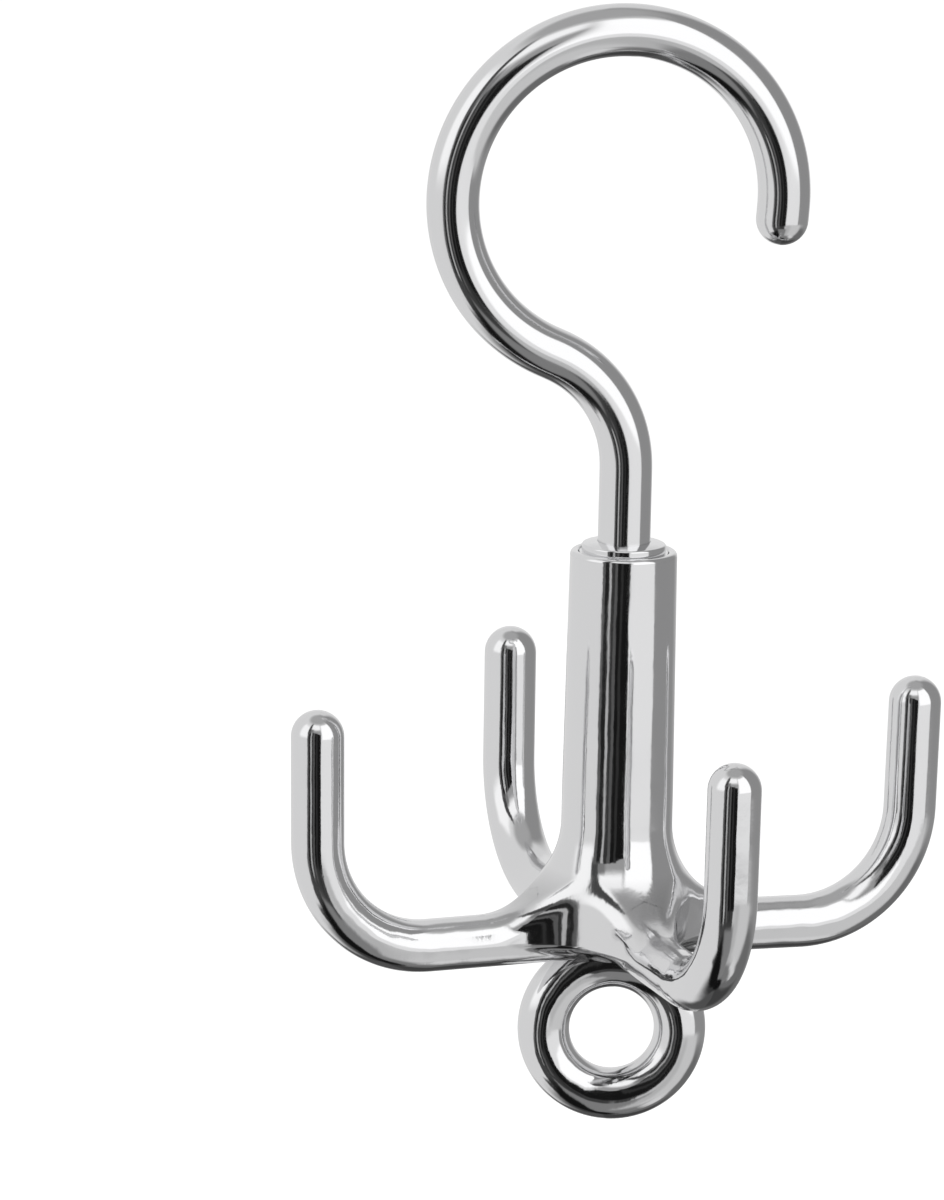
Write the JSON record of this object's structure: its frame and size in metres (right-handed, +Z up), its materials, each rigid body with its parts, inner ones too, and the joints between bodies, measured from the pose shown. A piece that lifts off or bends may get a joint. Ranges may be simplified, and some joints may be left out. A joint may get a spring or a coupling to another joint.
{
  "type": "bag hanger",
  "caption": "Swivel bag hanger: a round wire hook for a clothes rail carries a turning hub with upturned claws and an eye below.",
  "frame": {"origin": "the rail seat: the top of the inside of the hook's loop, where the hanger rests on its rail", "axes": "+Z up along the swivel axis; the hook's loop lies in the XZ plane and opens towards +X"},
  "size_m": [0.0784, 0.0784, 0.1298],
  "materials": {
    "plated_wire": "bright nickel-chrome plating on steel wire",
    "plated_casting": "bright nickel-chrome plating on zinc die casting",
    "spring_steel": "plain oiled spring steel",
    "nylon": "natural nylon"
  },
  "bodies": {
    "hook": {"hook": "plated_wire", "retaining_clip": "spring_steel"},
    "claws": {"claw_casting": "plated_casting", "swivel_cap": "plated_casting", "thrust_washer": "nylon", "eye_ring": "plated_casting"}
  },
  "joints": [
    {"name": "swivel", "type": "hinge", "parent": "hook", "child": "claws", "pos_m": [0.0016, 0, -0.0569], "axis": [0, 0, 1], "continuous": true}
  ]
}
